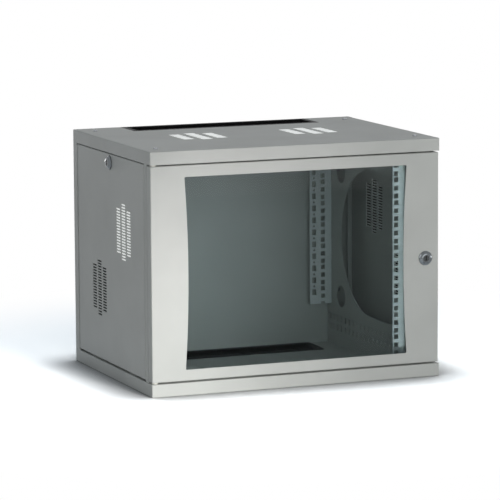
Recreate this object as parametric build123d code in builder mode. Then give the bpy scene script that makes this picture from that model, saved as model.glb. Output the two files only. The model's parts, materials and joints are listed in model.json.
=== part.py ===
# Wall mount network cabinet, nine height units, with a hinged window door and lift-off side panels.
# Millimetres. X runs across the cabinet, the door faces -Y, Z is up.
# The origin is the middle of the base, under the centre of the outer box.
from build123d import *
import os

os.makedirs("parts", exist_ok=True)

# Case
width = 600.0
depth = 450.0
height = 470.0
sheet = 1.5
bend = 2.0
lip = 25.0
seam = 0.3

# Folded edges of the two trays
front_return = 20.0
side_return = 11.0
rear_skirt = 8.0

# Back panel
back_flange = 23.0
back_top_flange = 14.0
wall_bolt_inset = 24.0
wall_bolt_spacing_z = 350.0
wall_bolt_hole = 10.0

# Side frames
side_channel = 47.5
post_strip = 14.0
post_inset = 1.7
flange_width = 31.0
cutout_front_margin = 12.0
cutout_height = 300.0
cutout_round_centre = 226.0
cable_hole = 45.0
cable_hole_from_back = 73.0
cable_hole_spacing = 258.0
slot_pitch = 20.0
slot_width = 6.5
slot_height = 12.0
slot_row_low = 38.0
slot_row_high = 58.0
slot_count = 20

# Rack grid of the 19 inch system
unit_count = 9
unit_height = 44.45
hole_offsets = (6.35, 22.225, 38.1)
rack_hole_inset = 20.0
rack_hole = 9.5
rack_face_width = 27.5

# Rails
rail_sheet = 2.0
rail_bend = 2.5
rail_overrun = 8.0
rail_flange = 30.0
front_rail_setback = 56.0
front_bolt_setback = 18.0
rear_rail_setback = 24.0
rear_rail_face = 48.7
rear_rail_flange = 20.0
oblong_inset = 9.0
oblong_width = 9.0
oblong_height = 12.0
oblong_pitch = 25.0
dot_hole = 4.5

# Vents
outer_vent_count = 16
middle_vent_count = 20
vent_pitch = 5.6
vent_slot = 3.0
roof_vent_length = 27.0
roof_vent_column = 35.0
roof_vent_x = 117.0
side_vent_length = 23.0
side_vent_column = 29.0
side_vent_upper = (-77.0, 63.5)
side_vent_lower = (66.0, -64.5)
filter_margin = 6.0
filter_corner = 3.0
filter_thickness = 3.0

# Brush entries
brush_inset = 100.0
roof_brush_depth = 85.0
floor_brush_depth = 70.0
floor_brush_from_back = 16.0
brush_bar = 10.0
brush_flange = 6.0
brush_flange_thickness = 2.5
bristle_thickness = 3.0
bristle_depth = 0.5
bristle_gap = 0.6

# Door
door_side_gap = 1.4
door_gap = 3.0
door_setback = 2.0
door_depth = 20.0
door_return = 10.0
door_seat_gap = 3.0
window_margin_side = 69.5
window_bow = 6.7
window_margin_bottom = 49.5
window_margin_top = 50.5
glass_overlap = 12.0
glass_thickness = 4.0
glass_corner = 4.0
tape_thickness = 1.0
tape_width = 9.0
tape_inset = 1.0
window_corner = 2.5

# Hinges
hinge_inset_x = 8.0
hinge_inset_y = 9.5
hinge_pin = 6.0
hinge_head = 10.0
hinge_head_thickness = 2.0
hinge_reach = 10.0
bush_wall = 1.5
bush_length = 8.0
bush_flange = 12.0
running_clearance = 0.08
hinge_pin_chamfer = 0.75

# Side panels
panel_inset = 0.7
panel_edge_gap = 1.0
panel_gap_top = 2.0
panel_gap_bottom = 3.5
panel_return = 11.0
tab_width = 30.0
tab_length = 12.0
tab_spacing = 220.0
tab_inset = 4.0
tab_slot_width = 6.5
tab_slot_play = 0.6
tab_slot_inset = 1.0
tab_shoulder = 6.0

# Locks
bezel_diameter = 28.0
bezel_height = 6.0
bezel_edge = 2.2
bezel_top = 19.0
barrel_diameter = 19.0
barrel_play = 0.5
plug_diameter = 12.0
plug_recess = 0.8
key_pin = 3.0
key_pin_spacing = 5.4
key_slit = 1.3
keyhole_depth = 5.0
tang = 6.0
lock_nut_width = 24.0
lock_nut_thickness = 5.0
cam_thickness = 2.0
cam_width = 14.0
cam_chamfer = 2.8
cam_clearance = 0.5
cam_screw_head = 8.0
cam_screw_thickness = 2.2
cam_screw_diameter = 4.0
cam_screw_length = 6.0
door_lock_inset = 28.2
door_cam_reach = 24.0
side_lock_from_top = 44.0
side_cam_reach = 29.0
keeper_side = 12.0
keeper_above = 30.0
keeper_below = 13.0

# Fasteners
screw_diameter = 5.0
screw_head = 9.5
screw_head_height = 2.6
screw_hole = 5.6
thread_play = 0.05
thread_end = 1.0
head_slope = 0.5
nut_width = 8.0
nut_thickness = 4.0
roof_screw_inset = 30.0
roof_screw_margin = 51.0
back_screw_pitch = 125.0
rail_bolt_diameter = 6.0
rail_bolt_head = 11.0
rail_bolt_head_height = 3.3
rail_nut_width = 10.0
rail_nut_thickness = 5.0
bumper_diameter = 8.6
bumper_inset = 40.0
bumper_play = 0.3
earth_stud = 6.0
earth_stud_length = 16.0
earth_stud_inset = 32.0

# Planes and limits that follow from the sizes above
lock_proud = bezel_height - door_setback
front_y = (lock_proud - depth) / 2
back_y = front_y + depth
middle_y = (front_y + back_y) / 2
back_inner = back_y - sheet
tray_inner_x = width / 2 - sheet
web_inner = width / 2 - side_channel
rack_hole_x = web_inner - rack_hole_inset
rack_opening = 2 * (web_inner - rack_face_width)
wall_bolt_spacing_x = width - 2 * wall_bolt_inset
brush_half_length = width / 2 - brush_inset
window_half_width = width / 2 - window_margin_side
post_outer = width / 2 - post_inset
frame_front = front_y + door_setback + door_depth + door_seat_gap
roof_under = height - sheet
middle_z = height / 2
door_half = width / 2 - door_side_gap
door_lock_x = door_half - door_lock_inset
door_front = front_y + door_setback
door_back = door_front + door_depth
door_bottom = lip + door_gap
door_top = height - lip - door_gap
panel_face = width / 2 - panel_inset
panel_front = frame_front + post_strip + panel_edge_gap
panel_rear = back_y - back_flange - panel_edge_gap
panel_middle = (panel_front + panel_rear) / 2
panel_bottom = lip + panel_gap_bottom
panel_top = height - lip - panel_gap_top
side_lock_z = height - side_lock_from_top
grid_bottom = (height - unit_count * unit_height) / 2
grid_top = grid_bottom + unit_count * unit_height
rack_holes = [grid_bottom + u * unit_height + offset for u in range(unit_count) for offset in hole_offsets]
front_rail_y = front_y + front_rail_setback
rear_rail_y = back_inner - rear_rail_setback
rear_rail_low = grid_bottom + unit_height + hole_offsets[0]
slot_rows = (slot_row_low, slot_row_high, height - slot_row_high, height - slot_row_low)
slot_last_y = rear_rail_y + rear_rail_flange / 2
slot_ys = [slot_last_y - column * slot_pitch for column in range(slot_count)]
front_bolt_y = min(slot_ys, key=lambda y: abs(y - front_rail_y - front_bolt_setback))
rear_bolt_z = (rear_rail_low + 2 * unit_height, height - slot_row_low)
return_x = tray_inner_x - side_return
hinge_x = -door_half + hinge_inset_x
hinge_y = door_front + hinge_inset_y
tab_x = panel_face - sheet - tab_inset
roof_screw_x = width / 2 - roof_screw_inset
earth_stud_x = width / 2 - earth_stud_inset


def export(part, name):
    # One file per sub-part, named as its node
    part.label = name
    export_step(part, "parts/" + name + ".step")


def box_between(low, high):
    # A plain block between two corners, for cuts and straight walls
    size = [b - a for a, b in zip(low, high)]
    centre = [(a + b) / 2 for a, b in zip(low, high)]
    with BuildPart() as block:
        with Locations(tuple(centre)):
            Box(*size)
    return block.part


def vent_group(slot_length, column_pitch):
    # Three columns of narrow slots, the middle column longer; slots run along the sketch's X
    with BuildSketch() as group:
        for column, rows in ((-1, outer_vent_count), (0, middle_vent_count), (1, outer_vent_count)):
            with Locations((column * column_pitch, 0)):
                with GridLocations(0, vent_pitch, 1, rows):
                    Rectangle(slot_length, vent_slot)
    return group.sketch


def pan_head_screw(diameter, head, head_height, length):
    # Head with a sloped shoulder above the XY plane, shank below it
    with BuildPart() as screw:
        Cylinder(head / 2, head_height, align=(Align.CENTER, Align.CENTER, Align.MIN))
        chamfer(screw.faces().sort_by(Axis.Z)[-1].edges(), head_height * head_slope)
        Cylinder(diameter / 2, length, align=(Align.CENTER, Align.CENTER, Align.MAX))
    return screw.part


def hex_nut(across_flats, hole, thickness):
    # A nut standing on the XY plane
    with BuildPart() as nut:
        with BuildSketch():
            RegularPolygon(across_flats / 2, 6, major_radius=False)
            Circle(hole / 2, mode=Mode.SUBTRACT)
        extrude(amount=thickness)
    return nut.part


def placed(part, *locations):
    # Copies of one solid at several places, kept as separate solids of one node
    return Compound(children=[part.moved(location) for location in locations])


# Roof: a shallow tray turned down at the front and sides, open at the back under the back panel's flange
roof_low = height - lip
roof_rear = back_y - back_top_flange - seam
skirt_rear = back_y - back_flange - seam
brush_front = back_y - sheet - roof_brush_depth
with BuildPart() as roof_panel:
    add(box_between((-width / 2, front_y, roof_low), (width / 2, roof_rear, height)))
    fillet(roof_panel.edges().filter_by(Axis.Z).group_by(Axis.Y)[0], bend)
    fillet(roof_panel.faces().sort_by(Axis.Z)[-1].edges().group_by(Axis.Y)[0:-1], bend)
    add(
        box_between((-tray_inner_x, front_y + sheet, roof_low + sheet), (tray_inner_x, back_y, roof_under)),
        mode=Mode.SUBTRACT,
    )
    # The return below keeps a deep front edge for the hinge pins and a narrow edge at each side
    add(
        box_between((-return_x, front_y + sheet + front_return, roof_low),
                    (return_x, back_y, roof_low + sheet)),
        mode=Mode.SUBTRACT,
    )
    for side in (-1, 1):
        post_gap = sorted((side * return_x, side * tray_inner_x))
        for start, end in (
            (front_y + sheet + front_return, panel_front),
            (panel_rear, back_y),
        ):
            add(
                box_between((post_gap[0], start, roof_low), (post_gap[1], end, roof_low + sheet)),
                mode=Mode.SUBTRACT,
            )
        skirt = sorted((side * (tray_inner_x - seam), side * width))
        add(box_between((skirt[0], skirt_rear, roof_low), (skirt[1], back_y, height)), mode=Mode.SUBTRACT)
    with BuildSketch(Plane.XY.offset(height)):
        with Locations((0, (brush_front + back_y) / 2)):
            Rectangle(2 * brush_half_length, back_y - brush_front)
        with Locations((-roof_vent_x, middle_y), (roof_vent_x, middle_y)):
            add(vent_group(roof_vent_length, roof_vent_column))
        with Locations((0, middle_y)):
            with GridLocations(2 * roof_screw_x, depth - 2 * roof_screw_margin, 2, 2):
                Circle(screw_hole / 2)
    extrude(amount=-2 * sheet, mode=Mode.SUBTRACT)
    with Locations((hinge_x, hinge_y, roof_low + sheet / 2)):
        Cylinder(hinge_pin / 2, 2 * sheet, mode=Mode.SUBTRACT)
export(roof_panel.part, "roof_panel")

# Floor: the same kind of tray turned up, with a lower skirt under the back panel
floor_brush_rear = back_y - floor_brush_from_back
floor_brush_front = floor_brush_rear - floor_brush_depth
with BuildPart() as floor_panel:
    add(box_between((-width / 2, front_y, 0), (width / 2, back_y, lip)))
    fillet(floor_panel.edges().filter_by(Axis.Z), bend)
    fillet(floor_panel.faces().sort_by(Axis.Z)[0].edges(), bend)
    add(
        box_between((-tray_inner_x, front_y + sheet, sheet), (tray_inner_x, back_inner, lip - sheet)),
        mode=Mode.SUBTRACT,
    )
    add(
        box_between((-return_x, front_y + sheet + front_return, lip - sheet), (return_x, back_inner, lip)),
        mode=Mode.SUBTRACT,
    )
    add(box_between((-tray_inner_x, panel_rear, rear_skirt), (tray_inner_x, back_y, lip)), mode=Mode.SUBTRACT)
    for side in (-1, 1):
        post_gap = sorted((side * return_x, side * tray_inner_x))
        add(
            box_between((post_gap[0], front_y + sheet + front_return, lip - sheet),
                        (post_gap[1], panel_front, lip)),
            mode=Mode.SUBTRACT,
        )
    with BuildSketch(Plane.XY.offset(lip)):
        for side in (-1, 1):
            with Locations((side * (tab_x - sheet / 2 - tab_slot_inset), panel_middle)):
                with GridLocations(0, tab_spacing, 1, 2):
                    Rectangle(tab_slot_width, tab_width + tab_slot_play)
    extrude(amount=-2 * sheet, mode=Mode.SUBTRACT)
    with BuildSketch(Plane.XY):
        with Locations((0, (floor_brush_front + floor_brush_rear) / 2)):
            Rectangle(2 * brush_half_length, floor_brush_depth)
        with Locations((-roof_vent_x, middle_y), (roof_vent_x, middle_y)):
            add(vent_group(roof_vent_length, roof_vent_column))
        with Locations((0, middle_y)):
            with GridLocations(2 * roof_screw_x, depth - 2 * roof_screw_margin, 2, 2):
                Circle(screw_diameter / 2 + thread_play)
    extrude(amount=2 * sheet, mode=Mode.SUBTRACT)
    with Locations((hinge_x, hinge_y, lip - sheet / 2)):
        Cylinder(hinge_pin / 2, 2 * sheet, mode=Mode.SUBTRACT)
export(floor_panel.part, "floor_panel")

# Back panel: a plate whose sides and top fold forward round the frames, down to the floor tray's rear skirt
back_bottom = lip + seam
with BuildPart() as back_panel:
    add(box_between((-width / 2, back_y - back_flange, back_bottom), (width / 2, back_y, height)))
    fillet(back_panel.faces().sort_by(Axis.Y)[-1].edges().group_by(Axis.Z)[1:], bend)
    add(
        box_between((-tray_inner_x, front_y, 0), (tray_inner_x, back_inner, roof_under)),
        mode=Mode.SUBTRACT,
    )
    add(
        box_between((-tray_inner_x, front_y, 0), (tray_inner_x, back_y - back_top_flange, height)),
        mode=Mode.SUBTRACT,
    )
    add(
        box_between((-brush_half_length - seam, front_y, roof_under - brush_flange),
                    (brush_half_length + seam, back_inner, height)),
        mode=Mode.SUBTRACT,
    )
    # Between the floor tray's side skirts the plate goes on down
    add(box_between((-tray_inner_x + seam, back_inner, rear_skirt + seam),
                    (tray_inner_x - seam, back_y, back_bottom)))
    with BuildSketch(Plane.XZ.offset(-back_y)):
        with Locations((0, middle_z)):
            with GridLocations(wall_bolt_spacing_x, wall_bolt_spacing_z, 2, 2):
                Circle(wall_bolt_hole / 2)
            with GridLocations(wall_bolt_spacing_x, back_screw_pitch, 2, 3):
                Circle(screw_diameter / 2 + thread_play)
    extrude(amount=2 * sheet, mode=Mode.SUBTRACT)
export(back_panel.part, "back_panel")

# Side frame: one sheet folded round both posts, with the big round-ended window of the cable way
with BuildPart() as right_side_frame:
    with BuildSketch(Plane.XY.offset(sheet)):
        with BuildLine():
            FilletPolyline(
                (post_outer, frame_front + post_strip),
                (post_outer, frame_front),
                (web_inner, frame_front),
                (web_inner, back_inner),
                (post_outer, back_inner),
                (post_outer, back_y - back_flange),
                radius=bend,
            )
            offset(amount=sheet, side=Side.RIGHT)
        make_face()
    extrude(amount=height - 2 * sheet)
    # Feet folded out at the top and bottom carry the roof and floor screws
    for low in (sheet, roof_under - sheet):
        add(
            box_between((web_inner + sheet / 2, frame_front + bend, low),
                        (web_inner + flange_width, back_inner - bend, low + sheet))
        )
    cutout_front = frame_front + cutout_front_margin
    cutout_centre = front_y + cutout_round_centre
    with BuildSketch(Plane.YZ.offset(web_inner + 2 * sheet)):
        with BuildLine():
            Polyline(
                (cutout_centre, middle_z + cutout_height / 2),
                (cutout_front, middle_z + cutout_height / 2),
                (cutout_front, middle_z - cutout_height / 2),
                (cutout_centre, middle_z - cutout_height / 2),
            )
            ThreePointArc(
                (cutout_centre, middle_z - cutout_height / 2),
                (cutout_centre + cutout_height / 2, middle_z),
                (cutout_centre, middle_z + cutout_height / 2),
            )
        make_face()
        with Locations((back_y - cable_hole_from_back, middle_z)):
            with GridLocations(0, cable_hole_spacing, 1, 2):
                Circle(cable_hole / 2)
        with Locations(*[(y, z) for z in slot_rows for y in slot_ys]):
            Rectangle(slot_width, slot_height)
        with Locations((slot_last_y, rear_bolt_z[0])):
            Circle(slot_width / 2)
    extrude(amount=-4 * sheet, mode=Mode.SUBTRACT)
    # Keeper in the front face, which the door lock's cam goes through and turns behind
    add(
        box_between((door_lock_x - keeper_side, front_y, middle_z - keeper_below),
                    (door_lock_x + keeper_side, frame_front + 2 * sheet, middle_z + keeper_above)),
        mode=Mode.SUBTRACT,
    )
    with BuildSketch(Plane.XZ.offset(-back_y)):
        with Locations((wall_bolt_spacing_x / 2, middle_z)):
            with GridLocations(0, wall_bolt_spacing_z, 1, 2):
                Circle(wall_bolt_hole / 2)
            with GridLocations(0, back_screw_pitch, 1, 3):
                Circle(screw_hole / 2)
    extrude(amount=3 * sheet, mode=Mode.SUBTRACT)
    with Locations((roof_screw_x, middle_y, middle_z)):
        with GridLocations(0, depth - 2 * roof_screw_margin, 1, 2):
            Cylinder(screw_hole / 2, height, mode=Mode.SUBTRACT)
export(right_side_frame.part, "right_side_frame")
with BuildPart() as left_side_frame:
    mirror(right_side_frame.part, about=Plane.YZ)
export(left_side_frame.part, "left_side_frame")

# Front rail: an angle with the square-hole face towards the door and a flange bolted to the web
rail_low = grid_bottom - rail_overrun
rail_high = grid_top + rail_overrun
with BuildPart() as right_front_rail:
    with BuildSketch(Plane.XY.offset(rail_low)):
        with BuildLine():
            FilletPolyline(
                (web_inner, front_rail_y + rail_flange),
                (web_inner, front_rail_y),
                (rack_opening / 2, front_rail_y),
                radius=rail_bend,
            )
            offset(amount=rail_sheet, side=Side.RIGHT)
        make_face()
    extrude(amount=rail_high - rail_low)
    with BuildSketch(Plane.XZ.offset(-front_rail_y)):
        with Locations(*[(rack_hole_x, z) for z in rack_holes]):
            Rectangle(rack_hole, rack_hole)
    extrude(amount=-2 * rail_sheet, mode=Mode.SUBTRACT)
    with BuildSketch(Plane.YZ.offset(web_inner)):
        with Locations(*[(front_bolt_y, z) for z in slot_rows]):
            Circle(rail_bolt_diameter / 2 + thread_play)
    extrude(amount=-2 * rail_sheet, mode=Mode.SUBTRACT)
export(right_front_rail.part, "right_front_rail")
with BuildPart() as left_front_rail:
    mirror(right_front_rail.part, about=Plane.YZ)
export(left_front_rail.part, "left_front_rail")

# Rear rail: wider face with a second column of oblong holes, cut off through a hole of the second unit
rear_rail_inner = web_inner - rear_rail_face
with BuildPart() as right_rear_rail:
    with BuildSketch(Plane.XY.offset(rear_rail_low)):
        with BuildLine():
            FilletPolyline(
                (web_inner, rear_rail_y + rear_rail_flange),
                (web_inner, rear_rail_y),
                (rear_rail_inner, rear_rail_y),
                radius=rail_bend,
            )
            offset(amount=rail_sheet, side=Side.RIGHT)
        make_face()
    extrude(amount=grid_top - rear_rail_low)
    oblong_x = rear_rail_inner + oblong_inset
    oblong_count = int((grid_top - rear_rail_low) / oblong_pitch)
    oblong_middle = (grid_top + rear_rail_low) / 2
    with BuildSketch(Plane.XZ.offset(-rear_rail_y)):
        with Locations(*[(rack_hole_x, z) for z in rack_holes if z > rear_rail_low - rack_hole / 2]):
            Rectangle(rack_hole, rack_hole)
        with Locations((oblong_x, oblong_middle)):
            with GridLocations(0, oblong_pitch, 1, oblong_count):
                Rectangle(oblong_width, oblong_height)
            with GridLocations(0, oblong_pitch, 1, oblong_count - 1):
                Circle(dot_hole / 2)
    extrude(amount=-2 * rail_sheet, mode=Mode.SUBTRACT)
    with BuildSketch(Plane.YZ.offset(web_inner)):
        with Locations(*[(slot_last_y, z) for z in rear_bolt_z]):
            Circle(rail_bolt_diameter / 2 + thread_play)
    extrude(amount=-2 * rail_sheet, mode=Mode.SUBTRACT)
export(right_rear_rail.part, "right_rear_rail")
with BuildPart() as left_rear_rail:
    mirror(right_rear_rail.part, about=Plane.YZ)
export(left_rear_rail.part, "left_rear_rail")


# Brush entries: a moulded frame lies in each cut-out, with a flange against the sheet and two facing combs
def brush_frame(length, rear_flange):
    # Rim top at Z=0 with the flange under it; the rear edge of the rim is at Y=0
    half = brush_half_length - seam
    with BuildPart() as frame:
        add(box_between((-half, -length, -sheet), (half, 0, 0)))
        add(box_between((-half - brush_flange, -length - brush_flange, -sheet - brush_flange_thickness),
                        (half + brush_flange, rear_flange, -sheet)))
        add(
            box_between((-half + brush_bar, -length + brush_bar, -2 * lip),
                        (half - brush_bar, -brush_bar, lip)),
            mode=Mode.SUBTRACT,
        )
    return frame.part


def brush_combs(length):
    # Two slabs of bristle, from the long bars to a narrow gap in the middle
    half = brush_half_length - brush_bar - 2 * seam
    reach = (length - 2 * brush_bar - bristle_gap) / 2
    top = -bristle_depth
    low = top - bristle_thickness
    front = box_between((-half, -length + brush_bar, low), (half, -length + brush_bar + reach, top))
    rear = box_between((-half, -brush_bar - reach, low), (half, -brush_bar, top))
    return Compound(children=[front, rear])


roof_brush_at = Location((0, back_inner - seam, height))
floor_brush_at = Location((0, floor_brush_rear - seam, 0))
roof_brush_length = roof_brush_depth - 2 * seam
floor_brush_length = floor_brush_depth - 2 * seam
roof_brush_frame = brush_frame(roof_brush_length, 0).moved(roof_brush_at)
export(roof_brush_frame, "roof_brush_frame")
roof_brush_combs = brush_combs(roof_brush_length).moved(roof_brush_at)
export(roof_brush_combs, "roof_brush_combs")
floor_brush_mould = brush_frame(floor_brush_length, brush_flange)
floor_brush_frame = mirror(floor_brush_mould, about=Plane.XY).moved(floor_brush_at)
export(floor_brush_frame, "floor_brush_frame")
floor_brush_combs = mirror(brush_combs(floor_brush_length), about=Plane.XY).moved(floor_brush_at)
export(floor_brush_combs, "floor_brush_combs")


def filter_pad(slot_length, column_pitch):
    # Fleece pad with its face on the XY plane, a margin larger than the vent group that it covers
    with BuildPart() as pad:
        with BuildSketch():
            pad_x = 2 * column_pitch + slot_length + 2 * filter_margin
            pad_y = (middle_vent_count - 1) * vent_pitch + vent_slot + 2 * filter_margin
            RectangleRounded(pad_x, pad_y, filter_corner)
        extrude(amount=-filter_thickness)
    return pad.part


roof_filter = filter_pad(roof_vent_length, roof_vent_column)
roof_filter_places = [Location((side * roof_vent_x, middle_y, roof_under)) for side in (-1, 1)]
export(placed(roof_filter, *roof_filter_places), "roof_filter_pads")

# Side panel: a flat lid with folded edges, two bottom tabs and a key lock; both sides are the same part
with BuildPart() as left_side_panel:
    add(box_between((-panel_face, panel_front, panel_bottom),
                    (-panel_face + panel_return, panel_rear, panel_top)))
    panel_edges = left_side_panel.faces().sort_by(Axis.X)[0].edges()
    fillet(panel_edges + left_side_panel.edges().filter_by(Axis.X), bend)
    add(
        box_between((-panel_face + sheet, panel_front + sheet, panel_bottom + sheet),
                    (-panel_face + 2 * panel_return, panel_rear - sheet, panel_top - sheet)),
        mode=Mode.SUBTRACT,
    )
    for side in (-1, 1):
        tab_y = panel_middle + side * tab_spacing / 2
        add(
            box_between((-tab_x, tab_y - tab_width / 2, panel_bottom - tab_length),
                        (-tab_x + sheet, tab_y + tab_width / 2, panel_bottom + sheet))
        )
        # Wider shoulders above the tab stand on the floor tray's side return
        shoulder = tab_width / 2 + tab_shoulder
        add(
            box_between((-tab_x, tab_y - shoulder, lip + seam),
                        (-tab_x + sheet, tab_y + shoulder, panel_bottom + sheet))
        )
    with BuildSketch(Plane.YZ.offset(-panel_face)):
        for shift_y, shift_z in (side_vent_upper, side_vent_lower):
            with Locations((panel_middle + shift_y, middle_z + shift_z)):
                add(vent_group(side_vent_length, side_vent_column))
        with Locations((panel_middle, side_lock_z)):
            Circle((barrel_diameter + barrel_play) / 2)
    extrude(amount=2 * sheet, mode=Mode.SUBTRACT)
export(left_side_panel.part, "left_side_panel")
half_turn = Axis((0, panel_middle, 0), (0, 0, 1))
right_side_panel = left_side_panel.part.rotate(half_turn, 180)
export(right_side_panel, "right_side_panel")

left_filter_plane = Plane(
    (-panel_face + sheet, panel_middle + side_vent_upper[0], middle_z + side_vent_upper[1]),
    x_dir=(0, 1, 0),
    z_dir=(-1, 0, 0),
)
left_filter_pad = filter_pad(side_vent_length, side_vent_column).moved(left_filter_plane.location)
export(left_filter_pad, "left_filter_pad")

# Door: a folded tray with the window cut in its face; the window's sides bow inwards
window_bottom = window_margin_bottom
window_top = height - window_margin_top
window_middle = (window_bottom + window_top) / 2
with BuildPart() as door_frame:
    add(box_between((-door_half, door_front, door_bottom), (door_half, door_back, door_top)))
    fillet(door_frame.faces().sort_by(Axis.Y)[0].edges() + door_frame.edges().filter_by(Axis.Y), bend)
    add(
        box_between((-door_half + sheet, door_front + sheet, door_bottom + sheet),
                    (door_half - sheet, door_back - sheet, door_top - sheet)),
        mode=Mode.SUBTRACT,
    )
    add(
        box_between((-door_half + door_return, door_back - 2 * sheet, door_bottom + door_return),
                    (door_half - door_return, door_back + sheet, door_top - door_return)),
        mode=Mode.SUBTRACT,
    )
    with BuildSketch(Plane.XZ.offset(-door_front)) as window:
        with BuildLine():
            Line((-window_half_width, window_top), (window_half_width, window_top))
            ThreePointArc(
                (window_half_width, window_top),
                (window_half_width - window_bow, window_middle),
                (window_half_width, window_bottom),
            )
            Line((window_half_width, window_bottom), (-window_half_width, window_bottom))
            ThreePointArc(
                (-window_half_width, window_bottom),
                (-window_half_width + window_bow, window_middle),
                (-window_half_width, window_top),
            )
        make_face()
        fillet(window.vertices(), window_corner)
        with Locations((door_lock_x, middle_z)):
            Circle((barrel_diameter + barrel_play) / 2)
    extrude(amount=-2 * sheet, mode=Mode.SUBTRACT)
    bush_radius = hinge_pin / 2 + running_clearance + bush_wall
    with Locations((hinge_x, hinge_y, door_bottom), (hinge_x, hinge_y, door_top)):
        Cylinder(bush_radius + thread_play, 4 * sheet, mode=Mode.SUBTRACT)
export(door_frame.part, "door_frame")

# Pane behind the face, on a ring of foam tape
glass_front = door_front + sheet + tape_thickness
glass_half = window_half_width + glass_overlap
glass_middle = (window_bottom + window_top) / 2
glass_height = window_top - window_bottom + 2 * glass_overlap
with BuildPart() as door_glass:
    with BuildSketch(Plane.XZ.offset(-glass_front)):
        with Locations((0, glass_middle)):
            RectangleRounded(2 * glass_half, glass_height, glass_corner)
    extrude(amount=-glass_thickness)
export(door_glass.part, "door_glass")
with BuildPart() as glass_tape:
    with BuildSketch(Plane.XZ.offset(-door_front - sheet)):
        with Locations((0, glass_middle)):
            Rectangle(2 * (glass_half - tape_inset), glass_height - 2 * tape_inset)
            Rectangle(
                2 * (glass_half - tape_inset - tape_width),
                glass_height - 2 * (tape_inset + tape_width),
                mode=Mode.SUBTRACT,
            )
    extrude(amount=-tape_thickness)
export(glass_tape.part, "glass_tape")

# Door hinge: a headed pin in each tray's front return and a flanged bush in the door's edge
with BuildPart() as hinge_pin_part:
    pin_length = sheet + door_gap + hinge_reach
    Cylinder(hinge_head / 2, hinge_head_thickness, align=(Align.CENTER, Align.CENTER, Align.MIN))
    with Locations((0, 0, -pin_length)):
        Cylinder(hinge_pin / 2 - thread_play, pin_length, align=(Align.CENTER, Align.CENTER, Align.MIN))
    chamfer(hinge_pin_part.faces().sort_by(Axis.Z)[0].edges(), hinge_pin_chamfer)
with BuildPart() as hinge_bush:
    bush_rest = door_gap - seam
    Cylinder(bush_flange / 2, bush_rest, align=(Align.CENTER, Align.CENTER, Align.MIN))
    Cylinder(bush_radius, bush_length, align=(Align.CENTER, Align.CENTER, Align.MAX))
    Cylinder(hinge_pin / 2 + running_clearance, 4 * bush_length, mode=Mode.SUBTRACT)
upper_pin_at = Location((hinge_x, hinge_y, roof_low + sheet))
lower_pin_at = Location((hinge_x, hinge_y, lip - sheet))
export(hinge_pin_part.part.moved(upper_pin_at), "upper_hinge_pin")
export(mirror(hinge_pin_part.part, about=Plane.XY).moved(lower_pin_at), "lower_hinge_pin")
upper_bush_at = Location((hinge_x, hinge_y, door_top))
lower_bush_at = Location((hinge_x, hinge_y, door_bottom))
export(hinge_bush.part.moved(upper_bush_at), "upper_hinge_bush")
export(mirror(hinge_bush.part, about=Plane.XY).moved(lower_bush_at), "lower_hinge_bush")


# Locks: the face points along +Z, the sheet's outer face is at Z=0 and the barrel runs down from it
def lock_body(barrel_length):
    # Bezel with a sloped shoulder, threaded barrel and the plug's bore
    with BuildPart() as body:
        with BuildSketch(Plane.XZ):
            with BuildLine():
                Polyline(
                    (plug_diameter / 2 + running_clearance, bezel_height),
                    (plug_diameter / 2 + running_clearance, -barrel_length),
                    (barrel_diameter / 2, -barrel_length),
                    (barrel_diameter / 2, 0),
                    (bezel_diameter / 2, 0),
                    (bezel_diameter / 2, bezel_edge),
                    (bezel_top / 2, bezel_height),
                    close=True,
                )
            make_face()
        revolve(axis=Axis.Z)
    return body.part


def lock_plug(barrel_length, turned):
    # Round plug with a two-pin key slot in its face, and a square tang for the cam
    with BuildPart() as plug:
        with BuildSketch(Plane.XY.offset(bezel_height - plug_recess)):
            Circle(plug_diameter / 2)
        extrude(amount=-(bezel_height - plug_recess + barrel_length + seam))
        with BuildSketch(Plane.XY.offset(-barrel_length - seam)):
            Rectangle(tang, tang)
        extrude(amount=-cam_thickness)
        with BuildSketch(Plane.XY.offset(bezel_height - plug_recess)):
            with Locations(Rotation(0, 0, turned)):
                with GridLocations(0, key_pin_spacing, 1, 2):
                    Circle(key_pin / 2)
                Rectangle(key_slit, key_pin_spacing)
        extrude(amount=-keyhole_depth, mode=Mode.SUBTRACT)
        with Locations((0, 0, -barrel_length - seam - cam_thickness)):
            hole_height = 2 * (cam_screw_length + seam)
            Cylinder(cam_screw_diameter / 2 + thread_play, hole_height, mode=Mode.SUBTRACT)
    return plug.part


def lock_cam(barrel_length, reach):
    # Flat tongue pointing along +Y, square-holed on the plug's tang
    with BuildPart() as cam:
        with BuildSketch(Plane.XY.offset(-barrel_length - seam)):
            Circle(cam_width / 2)
            with Locations((0, reach / 2)):
                Rectangle(cam_width, reach)
            Rectangle(tang + 2 * thread_play, tang + 2 * thread_play, mode=Mode.SUBTRACT)
        extrude(amount=-cam_thickness)
        chamfer(cam.edges().filter_by(Axis.Z).group_by(Axis.Y)[-1], cam_chamfer)
    return cam.part


def cam_screw(barrel_length):
    # Button screw that holds the cam on the tang
    screw = pan_head_screw(cam_screw_diameter, cam_screw_head, cam_screw_thickness, cam_screw_length)
    return mirror(screw, about=Plane.XY).moved(Location((0, 0, -barrel_length - seam - cam_thickness)))


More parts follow.
